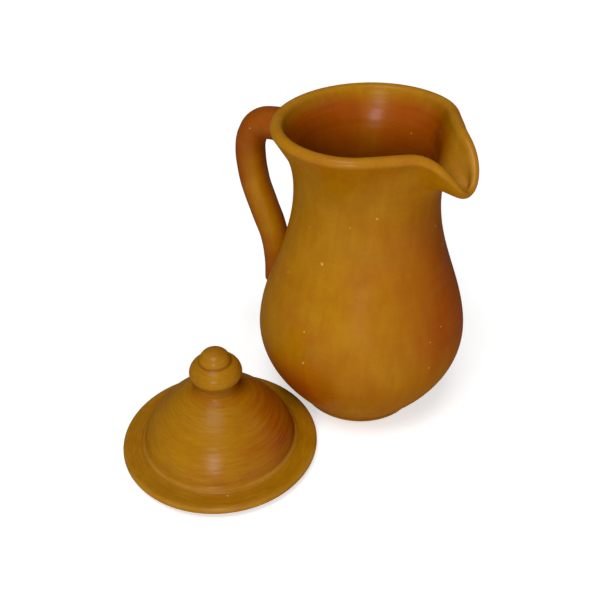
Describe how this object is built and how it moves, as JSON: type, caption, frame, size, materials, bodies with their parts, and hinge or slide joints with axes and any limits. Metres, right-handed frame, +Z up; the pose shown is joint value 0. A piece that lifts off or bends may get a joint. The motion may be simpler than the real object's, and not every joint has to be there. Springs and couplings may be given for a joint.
{
  "type": "clay jug with lid",
  "caption": "Round-bellied clay jug with a pulled pouring spout and a rolled side handle, its domed, knobbed lid lying on the table beside it.",
  "frame": {"origin": "centre of the jug's flat foot, on the table", "axes": "+Z up along the jug's axis, +X along the pouring spout; the handle is at the back, 15 degrees past -X towards -Y; the lid lies on the table towards -Y"},
  "size_m": [0.1691, 0.2457, 0.21],
  "materials": {
    "fired_clay": "unglazed burnished earthenware, ochre brown, with a soft sheen"
  },
  "bodies": {
    "jug": {"jug_body": "fired_clay", "jug_handle": "fired_clay"},
    "lid": {"lid_cover": "fired_clay", "lid_knob": "fired_clay"}
  },
  "joints": [
    {"name": "lid_lift", "type": "slide", "parent": "jug", "child": "lid", "axis": [-0.191, -0.681, 0.707], "range_m": [0, 0.15]}
  ]
}
